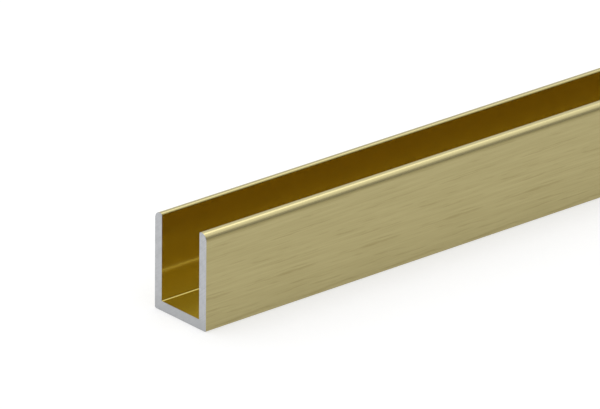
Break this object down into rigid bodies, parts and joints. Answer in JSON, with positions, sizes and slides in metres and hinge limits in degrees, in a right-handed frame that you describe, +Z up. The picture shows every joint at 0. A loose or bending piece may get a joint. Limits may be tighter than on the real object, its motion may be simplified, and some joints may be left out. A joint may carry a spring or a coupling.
{
  "type": "aluminium u-channel extrusion",
  "caption": "Straight U-section aluminium bar, brushed gold outside, with rounded lips, bare sawn ends and an open slot that takes the edge of a glass panel.",
  "frame": {"origin": "centre of the underside of the web, at the middle of the bar's length", "axes": "+X along the bar, +Y across the legs, +Z up and out of the slot"},
  "size_m": [1, 0.015, 0.02],
  "materials": {
    "gold_anodised": "pale gold anodised, brushed lengthwise outside, bright as extruded inside, bare metal on the saw cuts"
  },
  "bodies": {
    "root": {"u_channel": "gold_anodised"}
  },
  "joints": []
}
